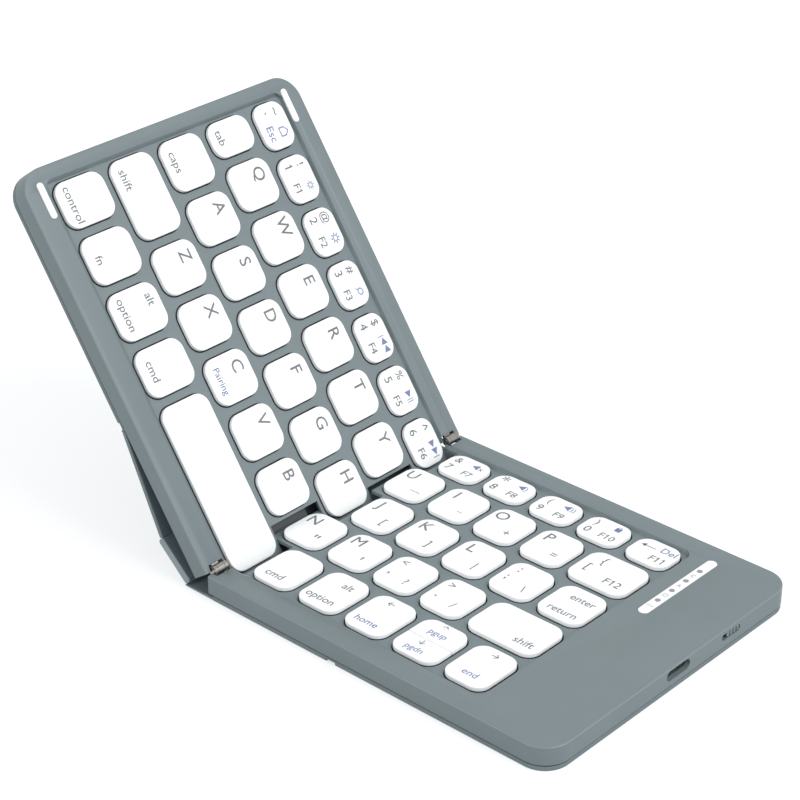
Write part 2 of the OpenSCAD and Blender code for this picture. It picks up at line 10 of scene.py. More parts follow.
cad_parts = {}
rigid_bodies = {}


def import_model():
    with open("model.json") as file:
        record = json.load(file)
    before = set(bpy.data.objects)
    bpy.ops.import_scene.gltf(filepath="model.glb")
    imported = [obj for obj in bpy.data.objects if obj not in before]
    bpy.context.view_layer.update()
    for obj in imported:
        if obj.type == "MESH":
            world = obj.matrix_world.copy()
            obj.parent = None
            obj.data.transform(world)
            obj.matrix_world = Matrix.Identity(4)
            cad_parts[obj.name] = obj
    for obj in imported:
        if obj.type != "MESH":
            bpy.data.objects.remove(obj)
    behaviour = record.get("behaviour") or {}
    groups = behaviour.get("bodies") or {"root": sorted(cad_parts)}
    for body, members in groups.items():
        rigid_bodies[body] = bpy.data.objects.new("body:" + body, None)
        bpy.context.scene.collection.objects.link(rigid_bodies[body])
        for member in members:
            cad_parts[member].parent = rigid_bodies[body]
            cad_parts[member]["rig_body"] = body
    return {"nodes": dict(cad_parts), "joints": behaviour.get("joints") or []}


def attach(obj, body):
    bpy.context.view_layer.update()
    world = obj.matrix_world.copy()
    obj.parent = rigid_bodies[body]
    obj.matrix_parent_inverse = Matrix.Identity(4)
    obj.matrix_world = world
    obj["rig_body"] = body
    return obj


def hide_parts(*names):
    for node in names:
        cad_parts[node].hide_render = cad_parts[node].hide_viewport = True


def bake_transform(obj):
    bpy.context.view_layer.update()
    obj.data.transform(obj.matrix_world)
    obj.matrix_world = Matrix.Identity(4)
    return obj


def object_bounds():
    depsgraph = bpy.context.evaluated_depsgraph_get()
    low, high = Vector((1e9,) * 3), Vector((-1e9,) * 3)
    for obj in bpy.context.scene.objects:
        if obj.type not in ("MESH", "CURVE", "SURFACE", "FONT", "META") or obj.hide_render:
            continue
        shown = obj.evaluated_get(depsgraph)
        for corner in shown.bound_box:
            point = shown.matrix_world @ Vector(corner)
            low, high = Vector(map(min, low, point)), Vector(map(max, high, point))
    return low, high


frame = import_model()
cad_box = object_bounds()
nodes = frame["nodes"]
scene = bpy.context.scene
mm = 0.001

fold = next(joint for joint in frame["joints"] if joint["name"] == "fold")
hinge_at = Vector(fold["pos_m"])
rest_fold = math.radians(-fold["range_deg"][0])
right_place = Matrix.Translation(hinge_at)
left_place = right_place @ Matrix.Rotation(rest_fold, 4, "Y")

# ---- Camera and studio ----
# A long lens from the front right corner, well above the keys. The white surroundings are seen
# by camera, glossy and transmitted rays only; a weaker fill and two soft boxes do the lighting.

camera = bpy.data.objects.new("camera", bpy.data.cameras.new("camera"))
scene.collection.objects.link(camera)
scene.camera = camera
camera_at = hinge_at + Vector((0.41906, -0.43685, 0.3642))
looks_at = hinge_at + Vector((-0.0018, 0.028, 0.0216))
camera.location = camera_at
camera.rotation_euler = (looks_at - camera_at).to_track_quat("-Z", "Y").to_euler()
camera.data.sensor_width = 36
camera.data.lens = 108.38
scene.view_settings.view_transform = "Standard"


def linear(text):
    """Linear colour of an sRGB hex value."""
    parts = [int(text[i : i + 2], 16) / 255 for i in (1, 3, 5)]
    flat = [p / 12.92 if p <= 0.04045 else ((p + 0.055) / 1.055) ** 2.4 for p in parts]
    return (*flat, 1.0)


def add(tree, kind, inputs=None, **settings):
    """A node with its settings, and each input set to a value or linked to an output."""
    node = tree.nodes.new("ShaderNode" + kind)
    for name, value in settings.items():
        setattr(node, name, value)
    for name, value in (inputs or {}).items():
        if isinstance(value, bpy.types.NodeSocket):
            tree.links.new(value, node.inputs[name])
        else:
            node.inputs[name].default_value = value
    return node


def bare(material):
    """The emptied node tree of a material or a world."""
    material.use_nodes = True
    material.node_tree.nodes.clear()
    return material.node_tree


def seen_directly(tree):
    """1 for rays from the camera and for glossy and transmitted ones, 0 for those that light."""
    path = add(tree, "LightPath")
    either = add(tree, "Math", {0: path.outputs["Is Camera Ray"],
                                1: path.outputs["Is Glossy Ray"]}, operation="MAXIMUM")
    return add(tree, "Math", {0: either.outputs[0], 1: path.outputs["Is Transmission Ray"]},
               operation="MAXIMUM").outputs[0]


fill_light = 0.66
scene.world = bpy.data.worlds.new("studio")
tree = bare(scene.world)
white_room = add(tree, "Background", {"Color": linear("#ffffff"), "Strength": 1.0})
soft_fill = add(tree, "Background", {"Color": linear("#f4f7fa"), "Strength": fill_light})
world_mix = add(tree, "MixShader", {0: seen_directly(tree), 1: soft_fill.outputs[0],
                                    2: white_room.outputs[0]})
add(tree, "OutputWorld", {"Surface": world_mix.outputs[0]})


def soft_box(name, position, target, size, power):
    """A square lamp that faces a point."""
    lamp = bpy.data.lights.new(name, "AREA")
    lamp.energy = power
    lamp.size = size
    box = bpy.data.objects.new(name, lamp)
    scene.collection.objects.link(box)
    box.location = position
    box.rotation_euler = (target - box.location).to_track_quat("-Z", "Y").to_euler()


# Place and side in metres, power in watts
soft_box("overhead_soft_box", Vector((1.2, 0.35, 1.2)), looks_at, 1.2, 18.5)
soft_box("front_soft_box", Vector((-0.35, -1.3, 0.8)), looks_at, 0.9, 7)

floor_half = 3.0
floor_drop = 0.1 * mm
# How bright the paper is made for the rays that see it
floor_glow = 0.6
bm = bmesh.new()
bmesh.ops.create_grid(bm, x_segments=1, y_segments=1, size=floor_half)
floor_mesh = bpy.data.meshes.new("floor")
bm.to_mesh(floor_mesh)
bm.free()
floor = bpy.data.objects.new("floor", floor_mesh)
scene.collection.objects.link(floor)
floor.location.z = cad_box[0].z - floor_drop
# Matt paper, which has no gleam and takes a soft, pale shadow
paper = bpy.data.materials.new("matt_white_paper")
tree = bare(paper)
paper_face = add(tree, "BsdfDiffuse", {"Color": linear("#c2c4c6")})
paper_glow = add(tree, "Emission", {"Color": linear("#ffffff"), "Strength": floor_glow})
paper_seen = add(tree, "AddShader", {0: paper_face.outputs[0], 1: paper_glow.outputs[0]})
paper_mix = add(tree, "MixShader", {0: seen_directly(tree), 1: paper_face.outputs[0],
                                    2: paper_seen.outputs[0]})
add(tree, "OutputMaterial", {"Surface": paper_mix.outputs[0]})
floor_mesh.materials.append(paper)

# ---- Housings ----
# Each half is a satin ABS moulding closed by a flat bottom plate. The moulding has outer walls, a
# rim with a shallow crowned border, and the sunk floor that the keys stand in, with small radii.

case_corner = 8 * mm
# Height of the groove that runs round the walls just above the cover
seam_h = 0.52 * mm
# How far in from the outer edge each step of the crown reaches, and how much it climbs, in mm
crown_steps = [(0.05, 0.16), (0.11, 0.11), (0.2, 0.07), (0.6, 0.05), (3, 0.05)]
# How far the trimming block runs on past the hinge line and below the deck
crown_past_hinge = 30 * mm
crown_below = 1 * mm
# A face whose normal is at least this high is a top face
upward = 0.99
case_edge = 0.12 * mm
# Only faces this near to the outline can take the painted highlight of the edge or the painted
# shade of the groove, and an edge face's normal has a height between these two
border = 1 * mm
edge_lean = (0.25, 0.93)
HIGHLIGHT_EDGE, SHADED_GROOVE = 1, 2
# Vertices this near are one, faces this level are joined, and sharper edges than this stay sharp
merge_gap = 0.001 * mm
flat_angle = math.radians(0.5)
sharp_angle = math.radians(35)


def finished(name, mesh, material, body, slot, *stands_for):
    """Links a mesh as a named piece that rides on a body in place of CAD nodes."""
    piece = bpy.data.objects.new(name, mesh)
    scene.collection.objects.link(piece)
    mesh.materials.append(material)
    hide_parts(*stands_for)
    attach(piece, body)
    return piece


def clean_copy(node):
    """The node's mesh with its doubles merged and its flat faces joined."""
    bm = bmesh.new()
    bm.from_mesh(nodes[node].data)
    bmesh.ops.remove_doubles(bm, verts=bm.verts, dist=merge_gap)
    bmesh.ops.dissolve_limit(bm, angle_limit=flat_angle, verts=bm.verts, edges=bm.edges)
    return bm


def to_mesh(bm, name):
    """The bmesh as a smooth-shaded mesh with its sharp edges marked."""
    mesh = bpy.data.meshes.new(name)
    bm.to_mesh(mesh)
    bm.free()
    mesh.shade_smooth()
    mesh.set_sharp_from_angle(angle=sharp_angle)
    return mesh


def round_edges(piece, radius, segments=2):
    """Rounds every edge sharper than a facet of a moulded curve."""
    edges = piece.modifiers.new("edges", "BEVEL")
    edges.width = radius
    edges.segments = segments
    edges.limit_method = "ANGLE"
    edges.angle_limit = sharp_angle
    edges.harden_normals = True


def crown(side, low, high):
    """The block that trims a deck: its top falls away towards the three outer edges."""
    inner, end = -crown_past_hinge, max(abs(low.x), abs(high.x))
    rise = sum(climb for inset, climb in crown_steps) * mm
    bm = bmesh.new()
    corners = [bm.verts.new((side * x, y, high.z - rise)) for x, y in
               ((inner, low.y), (end, low.y), (end, high.y), (inner, high.y))]
    bm.faces.new(corners if side > 0 else corners[::-1])
    bmesh.ops.bevel(bm, geom=corners[1:3], offset=case_corner, segments=16, profile=0.5,
                    affect="VERTICES", material=-1)
    top = bm.faces[:]
    down = bmesh.ops.extrude_face_region(bm, geom=top, use_keep_orig=True)["geom"]
    moved = [v for v in down if isinstance(v, bmesh.types.BMVert)]
    bmesh.ops.translate(bm, verts=moved, vec=(0, 0, low.z - high.z + rise - crown_below))
    bmesh.ops.recalc_face_normals(bm, faces=bm.faces)
    top = [f for f in bm.faces if f.normal.z > upward]
    for inset, climb in crown_steps:
        bmesh.ops.inset_region(bm, faces=top, thickness=inset * mm, depth=climb * mm,
                               use_even_offset=True, use_boundary=True)
    return bm


def from_outline(point, low, high, side):
    """How far a point lies inside the rounded outline of a half."""
    x, y = max(abs(low.x), abs(high.x)) - side * point.x, high.y - abs(point.y)
    if x > case_corner or y > case_corner:
        return min(x, y)
    return case_corner - math.hypot(case_corner - x, case_corner - y)


def deck_mesh(node, side, place):
    """The deck cut to the crowned block, in the row frame, its edge faces given the painted
    highlight and its groove faces the painted shade.
    """
    bm = clean_copy(node)
    bm.transform(place.inverted())
    flat = [v.co for v in bm.verts]
    low = Vector(map(min, *flat))
    high = Vector(map(max, *flat))
    deck = bpy.data.objects.new("deck", bpy.data.meshes.new("deck"))
    bm.to_mesh(deck.data)
    bm.free()
    block = bpy.data.objects.new("block", bpy.data.meshes.new("block"))
    bm = crown(side, low, high)
    bm.to_mesh(block.data)
    bm.free()
    for thing in (deck, block):
        scene.collection.objects.link(thing)
    trim = deck.modifiers.new("trim", "BOOLEAN")
    trim.operation = "INTERSECT"
    trim.solver = "EXACT"
    trim.object = block
    bpy.context.view_layer.update()
    depsgraph = bpy.context.evaluated_depsgraph_get()
    bm = bmesh.new()
    bm.from_mesh(deck.evaluated_get(depsgraph).data)
    for thing in (deck, block):
        bpy.data.objects.remove(thing)
    bmesh.ops.remove_doubles(bm, verts=bm.verts, dist=2 * merge_gap)
    bmesh.ops.dissolve_limit(bm, angle_limit=flat_angle, verts=bm.verts, edges=bm.edges)
    bm.normal_update()
    for face in bm.faces:
        middle = face.calc_center_median()
        if from_outline(middle, low, high, side) < border:
            if edge_lean[0] < face.normal.z < edge_lean[1]:
                face.material_index = HIGHLIGHT_EDGE
            elif middle.z < low.z + seam_h:
                face.material_index = SHADED_GROOVE
    bm.transform(place)
    return to_mesh(bm, node + "_moulding")


moulded_cloud = 18 * mm


def satin_moulding(name, colour, roughness, grain, relief, tint=0.03):
    """Moulded plastic: spark-eroded tool grain in the bump, and a faint cloudiness of colour. The
    grain is drawn a few times coarser than a tool's, so that it shows."""
    material = bpy.data.materials.new(name)
    tree = bare(material)
    where = add(tree, "TexCoord").outputs["Object"]
    cloud = add(tree, "TexNoise", {"Vector": where, "Scale": 1 / moulded_cloud, "Detail": 3.0})
    shade = add(tree, "MapRange", {"Value": cloud.outputs["Fac"], "From Min": 0.3,
                                   "From Max": 0.7, "To Min": 1 - tint, "To Max": 1 + tint})
    tone = add(tree, "HueSaturation", {"Color": linear(colour), "Value": shade.outputs[0]})
    grit = add(tree, "TexNoise", {"Vector": where, "Scale": 1 / grain, "Detail": 2.0})
    bump = add(tree, "Bump", {"Height": grit.outputs["Fac"], "Strength": 0.5,
                              "Distance": relief})
    rough = add(tree, "MapRange", {"Value": grit.outputs["Fac"], "To Min": roughness - 0.05,
                                   "To Max": roughness + 0.05})
    face = add(tree, "BsdfPrincipled", {"Base Color": tone.outputs[0],
                                        "Roughness": rough.outputs[0], "IOR": 1.53,
                                        "Normal": bump.outputs[0]})
    add(tree, "OutputMaterial", {"Surface": face.outputs[0]})
    return material


# ABS moulded against a fine spark-eroded tool: even slate grey with a soft, broad highlight
housing_abs = satin_moulding("satin_moulded_abs", "#707c7f", 0.46, 0.35 * mm, 0.006 * mm)

# The rounded outer edge is smoother than the faces, and painted paler: a painted highlight along it
edge_highlight_abs = satin_moulding("smooth_edge_abs_with_painted_highlight", "#7b8889", 0.36, 0.35 * mm, 0.004 * mm)
# The groove above the cover is painted dark: painted shade in the gap
groove_shade_abs = satin_moulding("groove_abs_painted_shade", "#343b3d", 0.6, 0.35 * mm, 0.012 * mm)

for half, side, place in (("right", 1, right_place), ("left", -1, left_place)):
    node = half + "_deck"
    deck = finished(half + "_housing", deck_mesh(node, side, place), housing_abs,
                    half + "_half", "housing_abs", node)
    deck.data.materials.append(edge_highlight_abs)
    deck.data.materials.append(groove_shade_abs)
    round_edges(deck, case_edge)
    nodes[half + "_bottom_plate"].data.materials.clear()
    nodes[half + "_bottom_plate"].data.materials.append(housing_abs)

# ---- Keycaps ----
# White satin ABS caps with rounded corners and a small radius round the flat top, each hollow and
# with a foot set in below, painted dark as painted shade in the gap. The marks are printed in grey,
# the second functions in blue.

cap_corner = 4 * mm
cap_edge = 0.32 * mm
cap_side = 1.27 * mm
cap_undercut = 0.3 * mm
cap_wall = 1.1 * mm
cap_top = 1.2 * mm
# The most of a cap's depth that one corner may take up
cap_corner_share = 0.49
GREY, BLUE, SHADE_FOOT = 1, 2, 3
# How far the ink reaches past the outline of a letter, and how proud it stands
ink_spread = 0.035 * mm
# The flag of a 1, in shares of the letter size: its length, its width, and its place
flag = (0.22, 0.08)
flag_from_corner = (0.14, 0.1)
flag_slant = math.radians(38)

# ABS from a polished tool, so it is glossier than the housing
keycap_abs = satin_moulding("polished_moulded_abs", "#fafbfb", 0.34, 0.5 * mm, 0.004 * mm, 0.005)
# The foot that slides in the opening is painted dark: painted shade, so the gap round a cap looks
# dark
shade_foot = satin_moulding("foot_painted_shade", "#45494b", 0.5, 0.3 * mm, 0.004 * mm)
# Pad-printed inks: matt and thin, the grey one dark enough to read on white
grey_ink = satin_moulding("grey_pad_print", "#707377", 0.6, 0.2 * mm, 0.002 * mm, 0.08)
blue_ink = satin_moulding("blue_pad_print", "#737fa8", 0.6, 0.2 * mm, 0.002 * mm, 0.08)


def separate_boxes(node, place):
    """Corners of each separate solid of a node, flat on its half, from left to right."""
    bm = bmesh.new()
    bm.from_mesh(nodes[node].data)
    bm.transform(place.inverted())
    bmesh.ops.remove_doubles(bm, verts=bm.verts, dist=merge_gap)
    waiting = set(bm.verts)
    boxes = []
    while waiting:
        edge = [waiting.pop()]
        island = set(edge)
        while edge:
            near = {e.other_vert(v) for v in edge for e in v.link_edges} - island
            island |= near
            edge = list(near)
        waiting -= island
        points = [v.co for v in island]
        boxes.append((Vector(map(min, *points)), Vector(map(max, *points))))
    bm.free()
    return sorted(boxes, key=lambda box: box[0].x)


def slab(low, high, corner, edge, rounded=(0, 1, 2, 3)):
    """A plate between two corners: its bottom, and its bmesh. The corners that are numbered,
    anticlockwise from the low one, are round in plan, and the top edge is round all along."""
    bm = bmesh.new()
    outline = [bm.verts.new((x, y, low.z)) for x, y in
               ((low.x, low.y), (high.x, low.y), (high.x, high.y), (low.x, high.y))]
    bm.faces.new(outline)
    bmesh.ops.bevel(bm, geom=[outline[i] for i in rounded], offset=corner, segments=8,
                    profile=0.5, affect="VERTICES", material=-1)
    bottom = bm.faces[:]
    raised = bmesh.ops.extrude_face_region(bm, geom=bottom, use_keep_orig=True)["geom"]
    top = [f for f in raised if isinstance(f, bmesh.types.BMFace)]
    rim = [v for v in raised if isinstance(v, bmesh.types.BMVert)]
    bmesh.ops.translate(bm, verts=rim, vec=(0, 0, high.z - low.z))
    bmesh.ops.bevel(bm, geom=top[0].edges[:], offset=edge, segments=4, profile=0.5,
                    affect="EDGES", material=-1)
    return bottom, bm


def add_to(bm, part, material=None):
    """Adds a finished part to a bmesh, in one of the piece's materials where one is given."""
    if material is not None:
        for face in part.faces:
            face.material_index = material
    mesh = bpy.data.meshes.new("part")
    part.to_mesh(mesh)
    part.free()
    bm.from_mesh(mesh)
    bpy.data.meshes.remove(mesh)


def pulled(bm, faces, distance):
    """Extrudes a flat region along Z, which leaves the region at its new height."""
    moved = bmesh.ops.extrude_face_region(bm, geom=faces)["geom"]
    bmesh.ops.translate(bm, verts=[v for v in moved if isinstance(v, bmesh.types.BMVert)],
                        vec=(0, 0, distance))
    return [f for f in moved if isinstance(f, bmesh.types.BMFace)]


def cap(low, high, rounded):
    """One hollow keycap between two corners: white above, and a foot set in below it, painted dark
    as painted shade.
    """
    foot_top = Vector((low.x, low.y, high.z - cap_side))
    corner = min(cap_corner, cap_corner_share * (high.y - low.y))
    bottom, bm = slab(foot_top, high, corner, cap_edge, rounded)
    white = set(bm.faces)
    bmesh.ops.inset_region(bm, faces=bottom, thickness=cap_undercut, use_even_offset=True,
                           use_boundary=True)
    bottom = pulled(bm, bottom, low.z - foot_top.z)
    bmesh.ops.inset_region(bm, faces=bottom, thickness=cap_wall - cap_undercut,
                           use_even_offset=True, use_boundary=True)
    pulled(bm, bottom, high.z - low.z - cap_top)
    for face in bm.faces:
        face.material_index = 0 if face in white else SHADE_FOOT
    return bm


def printed(text, height, align="CENTER"):
    """The mesh of a line of text, which the ink spreads a little beyond."""
    curve = bpy.data.curves.new("mark", "FONT")
    curve.body = text
    curve.size = height
    curve.resolution_u = 3
    curve.align_x = align
    curve.align_y = "CENTER"
    curve.bevel_depth = ink_spread
    curve.bevel_resolution = 0
    mark = bpy.data.objects.new("mark", curve)
    mesh = bpy.data.meshes.new_from_object(mark)
    bpy.data.objects.remove(mark)
    bpy.data.curves.remove(curve)
    return mesh


def right_end(text, height):
    """How far the last letter of a line reaches from where the line starts."""
    mesh = printed(text, height, align="LEFT")
    end = max(v.co.x for v in mesh.vertices)
    bpy.data.meshes.remove(mesh)
    return end


def write(bm, text, height, x, y, z, ink):
    """Prints a mark centred on a point of a flat key. Each 1 gets a flag at its top."""
    part = bmesh.new()
    mesh = printed(text, height)
    part.from_mesh(mesh)
    top = max(v.co.y for v in mesh.vertices)
    middle = right_end(text, height) - max(v.co.x for v in mesh.vertices)
    bpy.data.meshes.remove(mesh)
    for at in [i for i, letter in enumerate(text) if letter == "1"]:
        tip = Vector((right_end(text[:at + 1], height) - middle - flag_from_corner[0] * height,
                      top - flag_from_corner[1] * height, 0))
        bmesh.ops.create_cube(part, size=1, matrix=Matrix.Translation(tip)
                              @ Matrix.Rotation(flag_slant, 4, "Z")
                              @ Matrix.Diagonal((flag[0] * height, flag[1] * height,
                                                 2 * ink_spread, 1)))
    part.transform(Matrix.Translation((x, y, z)))
    add_to(bm, part, ink)


# Marks of each key: text, letter size, and place from the middle of the key in millimetres
marks = {
    "control": [("control", 3.8, 0.2, -4.7, GREY)],
    "function": [("fn", 3.7, 0, -4.8, GREY)],
    "option_left": [("alt", 3.8, -2, 5.2, GREY), ("option", 3.8, -0.4, -4.6, GREY)],
    "command_left": [("cmd", 3.8, -0.4, -4.7, GREY)],
    "shift_left": [("shift", 3.8, -6.2, -4.4, GREY)],
    "caps_lock": [("caps", 3.8, -1.2, -4.4, GREY)],
    "tab": [("tab", 3.8, -0.6, -4.4, GREY)],
    "escape": [("~", 4.6, -4, 2.4, GREY), ("`", 4.8, -4.2, -2.8, GREY),
               ("Esc", 3.9, 2.2, -2.5, BLUE), ("\u2302", 4.9, 2.6, 2.2, BLUE)],
    "command_right": [("cmd", 3.8, -0.6, -4.8, GREY)],
    "option_right": [("alt", 3.8, 1.8, 3.9, GREY), ("option", 3.8, -0.6, -4.7, GREY)],
    "home": [("\u2190", 3.2, -1.2, 5.8, GREY), ("home", 3.5, -0.8, -4.8, BLUE)],
    "page_up": [("\u2191", 3.0, -0.6, 2.3, GREY), ("pgup", 3.2, -0.2, -1.0, BLUE)],
    "page_down": [("\u2193", 3.0, -0.8, 2.2, GREY), ("pgdn", 3.2, -0.6, -1.2, BLUE)],
    "end": [("\u2192", 3.2, 0, 5.8, GREY), ("end", 3.5, 0.1, -4.4, BLUE)],
    "comma": [("<", 4.0, -3.9, 4.2, GREY), (",", 5.2, -4.2, -1.2, GREY),
              ("?", 4.1, 2.6, -3.2, GREY)],
    "period": [(">", 4.0, -3.9, 4.2, GREY), (".", 5.2, -4.2, -1.2, GREY),
               ("/", 4.1, 2.6, -3.2, GREY)],
    "shift_right": [("shift", 3.9, 6.2, -4, GREY)],
    "semicolon": [(":", 4.8, -3.6, 4.2, GREY), (";", 4.8, -4.4, -0.8, GREY),
                  ("\\", 4.3, 3.2, -3.4, GREY)],
    "enter": [("enter", 3.8, 1.4, 3.1, GREY), ("return", 3.8, 0.2, -4.5, GREY)],
    "bracket": [("{", 4.6, -4.4, 4, GREY), ("[", 4.6, -6.6, -0.8, GREY),
                ("F12", 4.0, 4.0, -3.6, GREY)],
    "delete": [("\u25c0", 1.9, -4.6, 1.9, GREY), ("\u2014", 4.2, -2.6, 2.1, GREY),
               ("Del", 3.8, 3.7, 2.6, BLUE), ("F11", 3.8, 3.2, -2.6, GREY)],
}
for letter in "qwertyasdfghzxcvb":
    marks[letter] = [(letter.upper(), 5.9, -2.4, 3.2, GREY)]
marks["c"].append(("Pairing", 3.1, -0.2, -4.3, BLUE))
# The quotation marks are drawn large, and set lower because they hang from the top of their line
second_size = [6.5, 6.5, 4.3, 4.3, 4.3, 3.4, 3.4, 4.3, 4.3]
quote_drop = 1.2
for letter, second, size in zip("nmjkluiop", "\"'[]|\u2014\u2013+=", second_size):
    drop = quote_drop if second in "\"'" else 0
    marks[letter] = [(letter.upper(), 5.8, -3.7, 3.5, GREY), (second, size, 3, -3 - drop, GREY)]
signs = "!@#$%^&*()"
sign_size = [3.9, 3.9, 3.9, 3.9, 3.9, 4.6, 3.9, 6.0, 3.9, 3.9]
icons = ["\u263c", "\u263c", "\u2315", "|\u25c0\u25c0", "\u25b6||", "\u25b6\u25b6|",
         "\u25c0x", "\u25c0)", "\u25c0))", "\u25a0"]
icon_size = [3.2, 4.0, 4.8, 2.7, 2.7, 2.7, 2.9, 2.9, 2.9, 2.6]
for i, digit in enumerate("1234567890"):
    marks[digit] = [(digit, 4.3, -4.3, -2.3, GREY), (signs[i], sign_size[i], -4.1, 2.5, GREY),
                    (f"F{i + 1}", 3.7, 2.7, -2.4, GREY), (icons[i], icon_size[i], 3.0, 2.6, BLUE)]
# A padlock is a square with its shackle over it
marks["0"].append(("\u2229", 2.6, 3.0, 3.5, BLUE))

# The keys of each node, from left to right
left_rows = {
    "left_modifier_keys": ["control", "function", "option_left", "command_left"],
    "space_key": ["space"],
    "left_lower_letter_keys": ["shift_left", *"zxcvb"],
    "left_home_letter_keys": ["caps_lock", *"asdfgh"],
    "left_upper_letter_keys": ["tab", *"qwerty"],
    "left_number_keys": ["escape", *"123456"],
}
# The page keys share one key's outline, so each is round only at its outer corners
straight_seam = {"page_down": (0, 1), "page_up": (2, 3)}
right_rows = {node: [node.removeprefix("key_")] for node in nodes if node.startswith("key_")}

for rows, place in ((left_rows, left_place), (right_rows, right_place)):
    for node, names in rows.items():
        bm = bmesh.new()
        for name, (low, high) in zip(names, separate_boxes(node, place)):
            add_to(bm, cap(low, high, straight_seam.get(name, (0, 1, 2, 3))))
            middle = (low + high) / 2
            for text, size, x, y, ink in marks.get(name, []):
                write(bm, text, size * mm, middle.x + x * mm, middle.y + y * mm, high.z, ink)
        bm.transform(place)
        body = nodes[node]["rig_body"]
        caps = finished(node + "_caps" if len(names) > 1 else node + "_cap",
                        to_mesh(bm, node + "_caps"), keycap_abs, body, "keycap_abs", node)
        for finish in (grey_ink, blue_ink, shade_foot):
            caps.data.materials.append(finish)

# ---- Hinges ----
# Two nickel-plated steel barrels in the front and rear rims: knuckles rolled on leaves that are
# screwed up under the rims, with a straight pin through each barrel.


def plated_metal(name, colour, roughness, grain):
    """Plated or bare sheet metal: smooth, with fine rolling marks along the sheet. They are drawn
    coarser than real ones, so that they show."""
    material = bpy.data.materials.new(name)
    tree = bare(material)
    where = add(tree, "TexCoord").outputs["Object"]
    drawn = add(tree, "Mapping", {"Vector": where, "Scale": (1, 0.08, 1)})
    lines = add(tree, "TexNoise", {"Vector": drawn.outputs[0], "Scale": 1 / grain,
                                   "Detail": 2.0})
    rough = add(tree, "MapRange", {"Value": lines.outputs["Fac"],
                                   "To Min": roughness * 0.7, "To Max": roughness * 1.4})
    bump = add(tree, "Bump", {"Height": lines.outputs["Fac"], "Strength": 0.3,
                              "Distance": 0.004 * mm})
    face = add(tree, "BsdfPrincipled", {"Base Color": linear(colour), "Metallic": 1.0,
                                        "Roughness": rough.outputs[0],
                                        "Normal": bump.outputs[0]})
    add(tree, "OutputMaterial", {"Surface": face.outputs[0]})
    return material


# Nickel has a slightly warm cast beside the grey plastic
nickel = plated_metal("nickel_plate", "#9b9793", 0.17, 0.12 * mm)
leaf_edge = 0.1 * mm
pin_edge = 0.12 * mm

for node, edge in (("right_hinge_leaves", leaf_edge), ("left_hinge_leaves", leaf_edge),
                   ("hinge_pins", pin_edge)):
    part = finished(node + "_nickel", to_mesh(clean_copy(node), node), nickel,
                    nodes[node]["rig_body"], "hinge_steel", node)
    round_edges(part, edge)

# ---- Cover ----
# Stiff boards wrapped in a smooth coated skin, creased under each half. The loose flap and the
# spine strip hang between the left crease and the thin film that runs on from the right cover.


skin_pebble = 0.7 * mm
skin_cloud = 9 * mm


def coated_skin(name, colour):
    """Polyurethane-coated fabric: a fine pebbled grain, matt, and slightly cloudy in colour."""
    material = bpy.data.materials.new(name)
    tree = bare(material)
    where = add(tree, "TexCoord").outputs["Object"]
    pebbles = add(tree, "TexVoronoi", {"Vector": where, "Scale": 1 / skin_pebble},
                  feature="SMOOTH_F1")
    cloud = add(tree, "TexNoise", {"Vector": where, "Scale": 1 / skin_cloud, "Detail": 3.0})
    shade = add(tree, "MapRange", {"Value": cloud.outputs["Fac"], "From Min": 0.3,
                                   "From Max": 0.7, "To Min": 0.95, "To Max": 1.05})
    tone = add(tree, "HueSaturation", {"Color": linear(colour), "Value": shade.outputs[0]})
    bump = add(tree, "Bump", {"Height": pebbles.outputs["Distance"], "Strength": 0.4,
                              "Distance": 0.03 * mm})
    face = add(tree, "BsdfPrincipled", {"Base Color": tone.outputs[0], "Roughness": 0.58,
                                        "IOR": 1.5, "Normal": bump.outputs[0]})
    add(tree, "OutputMaterial", {"Surface": face.outputs[0]})
    return material


# Matt slate skin, a paler piece of it round the spine board, and painted shade: a darker skin on
# the side that faces the case
cover_skin = coated_skin("coated_skin", "#6f7b7e")
# The spine's skin is painted paler: painted light for the light on its end face
lightened_spine_skin = coated_skin("coated_skin_painted_light_on_the_spine", "#8a9698")
case_side_shade = coated_skin("painted_shade_lining", "#65737a")
SHADE_LINING = 1
# Faces that point within about 45 degrees of the case get the painted shade
shaded_from = 0.7
cover_edge = 0.35 * mm
film_edge = 0.08 * mm
crease_reach = 0.2 * mm
# The film's far end is lifted by this share of its reach, to meet the spine strip
far_lift = 1.4
# A soft link is cut into this many parts, so that it can bend
link_parts = 12
# An edge runs across the board when its ends are this level in depth
level_gap = 0.01 * mm


def lengthened(bm, reach):
    """A board with both its ends moved out along it, to meet its neighbours at the creases."""
    level = [e for e in bm.edges if abs(e.verts[0].co.y - e.verts[1].co.y) < level_gap]
    edge = max(level, key=lambda e: e.calc_length())
    along = (edge.verts[1].co - edge.verts[0].co).normalized()
    places = [v.co.dot(along) for v in bm.verts]
    middle = (min(places) + max(places)) / 2
    for v in bm.verts:
        v.co += along * math.copysign(reach, v.co.dot(along) - middle)
    return bm


def shade_inside(mesh, inward):
    """Gives the side of a board or a strip that faces the case a darker skin: painted shade."""
    mesh.materials.append(case_side_shade)
    for face in mesh.polygons:
        if face.normal.dot(inward) > shaded_from:
            face.material_index = SHADE_LINING


for node in ("right_cover", "left_cover"):
    board = finished(node + "_skin", to_mesh(clean_copy(node), node), cover_skin,
                     nodes[node]["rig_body"], "cover_skin", node)
    round_edges(board, cover_edge, 3)
for node, skin, slot in (("cover_flap", cover_skin, "cover_skin"),
                         ("spine_strip", lightened_spine_skin, "spine_trim")):
    board = finished(node + "_skin", to_mesh(lengthened(clean_copy(node), crease_reach), node),
                     skin, nodes[node]["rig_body"], slot, node)
    shade_inside(board.data, left_place.to_3x3() @ Vector((0, 0, 1)))
    round_edges(board, cover_edge, 3)


